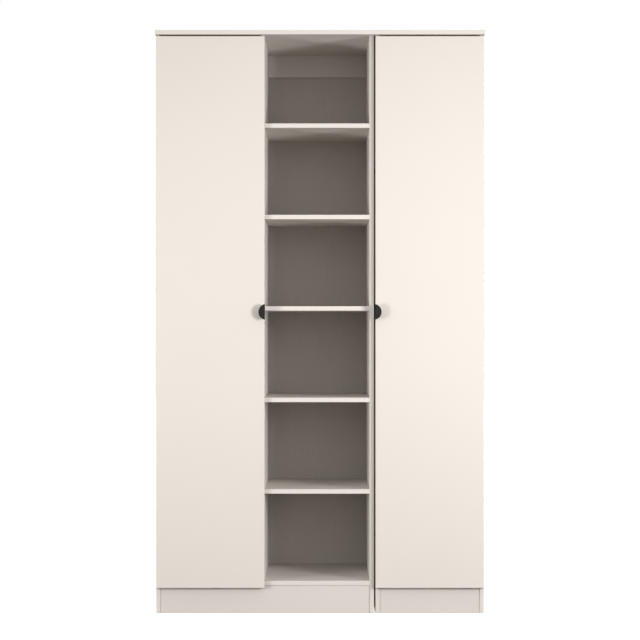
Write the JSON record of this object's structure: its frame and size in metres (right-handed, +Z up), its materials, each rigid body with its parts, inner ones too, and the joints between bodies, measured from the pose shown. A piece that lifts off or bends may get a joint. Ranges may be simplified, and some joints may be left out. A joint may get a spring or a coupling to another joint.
{
  "type": "wardrobe with doors",
  "caption": "Tall wardrobe with a closed hanging bay on each side, a central open bay of equal shelf compartments, a plain plinth, slab doors and half-moon pulls.",
  "frame": {"origin": "middle of the overall footprint, on the floor", "axes": "+Z up, +Y to the wall behind, +X to the right as seen from the front"},
  "size_m": [1.11, 0.551, 1.965],
  "materials": {
    "carcase_board": "matt cashmere melamine on chipboard",
    "door_board": "smooth matt cashmere foil on fibreboard",
    "back_board": "taupe printed hardboard",
    "dowel_wood": "raw fluted beech",
    "handle_metal": "matt black powder coat",
    "hinge_steel": "nickel plated pressed steel",
    "screw_steel": "bright zinc",
    "rail_chrome": "polished",
    "bumper_plastic": "soft translucent",
    "spacer_plastic": "moulded"
  },
  "bodies": {
    "carcase": {"carcase_spacers": "spacer_plastic", "centre_partition": "carcase_board", "door_bumpers": "bumper_plastic", "double_back": "back_board", "double_base": "carcase_board", "double_plinth": "carcase_board", "double_rear_plinth": "carcase_board", "double_top": "carcase_board", "dowels": "dowel_wood", "hat_shelf_pegs": "screw_steel", "left_arm_screws": "screw_steel", "left_hanging_rail": "rail_chrome", "left_hat_shelf": "carcase_board", "left_hinge_arms": "hinge_steel", "left_hinge_pins": "hinge_steel", "left_mounting_plates": "hinge_steel", "left_plate_screws": "screw_steel", "left_rear_rail": "carcase_board", "left_side": "carcase_board", "linking_screws": "screw_steel", "middle_side": "carcase_board", "open_rear_rail": "carcase_board", "open_shelf_1": "carcase_board", "open_shelf_2": "carcase_board", "open_shelf_3": "carcase_board", "open_shelf_4": "carcase_board", "open_shelf_5": "carcase_board", "plinth_brace": "carcase_board", "rail_socket_screws": "screw_steel", "rail_sockets": "rail_chrome", "right_arm_screws": "screw_steel", "right_hanging_rail": "rail_chrome", "right_hat_shelf": "carcase_board", "right_hinge_arms": "hinge_steel", "right_hinge_pins": "hinge_steel", "right_mounting_plates": "hinge_steel", "right_plate_screws": "screw_steel", "right_rear_rail": "carcase_board", "single_back": "back_board", "single_base": "carcase_board", "single_left_side": "carcase_board", "single_plinth": "carcase_board", "single_rear_plinth": "carcase_board", "single_right_side": "carcase_board", "single_top": "carcase_board"},
    "left_door": {"left_door": "door_board", "left_handle": "handle_metal", "left_handle_screws": "screw_steel", "left_hinge_cups": "hinge_steel", "left_cup_screws": "screw_steel"},
    "left_links": {"left_hinge_links": "hinge_steel"},
    "right_door": {"right_door": "door_board", "right_handle": "handle_metal", "right_handle_screws": "screw_steel", "right_hinge_cups": "hinge_steel", "right_cup_screws": "screw_steel"},
    "right_links": {"right_hinge_links": "hinge_steel"}
  },
  "joints": [
    {"name": "left_door_swing", "type": "hinge", "parent": "carcase", "child": "left_door", "pos_m": [-0.5445, -0.2425, 1.0175], "axis": [0, 0, -1], "range_deg": [0, 100]},
    {"name": "right_door_swing", "type": "hinge", "parent": "carcase", "child": "right_door", "pos_m": [0.5445, -0.2425, 1.0175], "axis": [0, 0, 1], "range_deg": [0, 100]},
    {"name": "left_link_turn", "type": "hinge", "parent": "carcase", "child": "left_links", "pos_m": [-0.5175, -0.2265, 1.0175], "axis": [0, 0, -1], "range_deg": [-15, 0]},
    {"name": "right_link_turn", "type": "hinge", "parent": "carcase", "child": "right_links", "pos_m": [0.5175, -0.2265, 1.0175], "axis": [0, 0, 1], "range_deg": [-15, 0]}
  ],
  "couplings": [
    {"joint": "left_link_turn", "follows": "left_door_swing", "ratio": -0.145},
    {"joint": "right_link_turn", "follows": "right_door_swing", "ratio": -0.145}
  ]
}
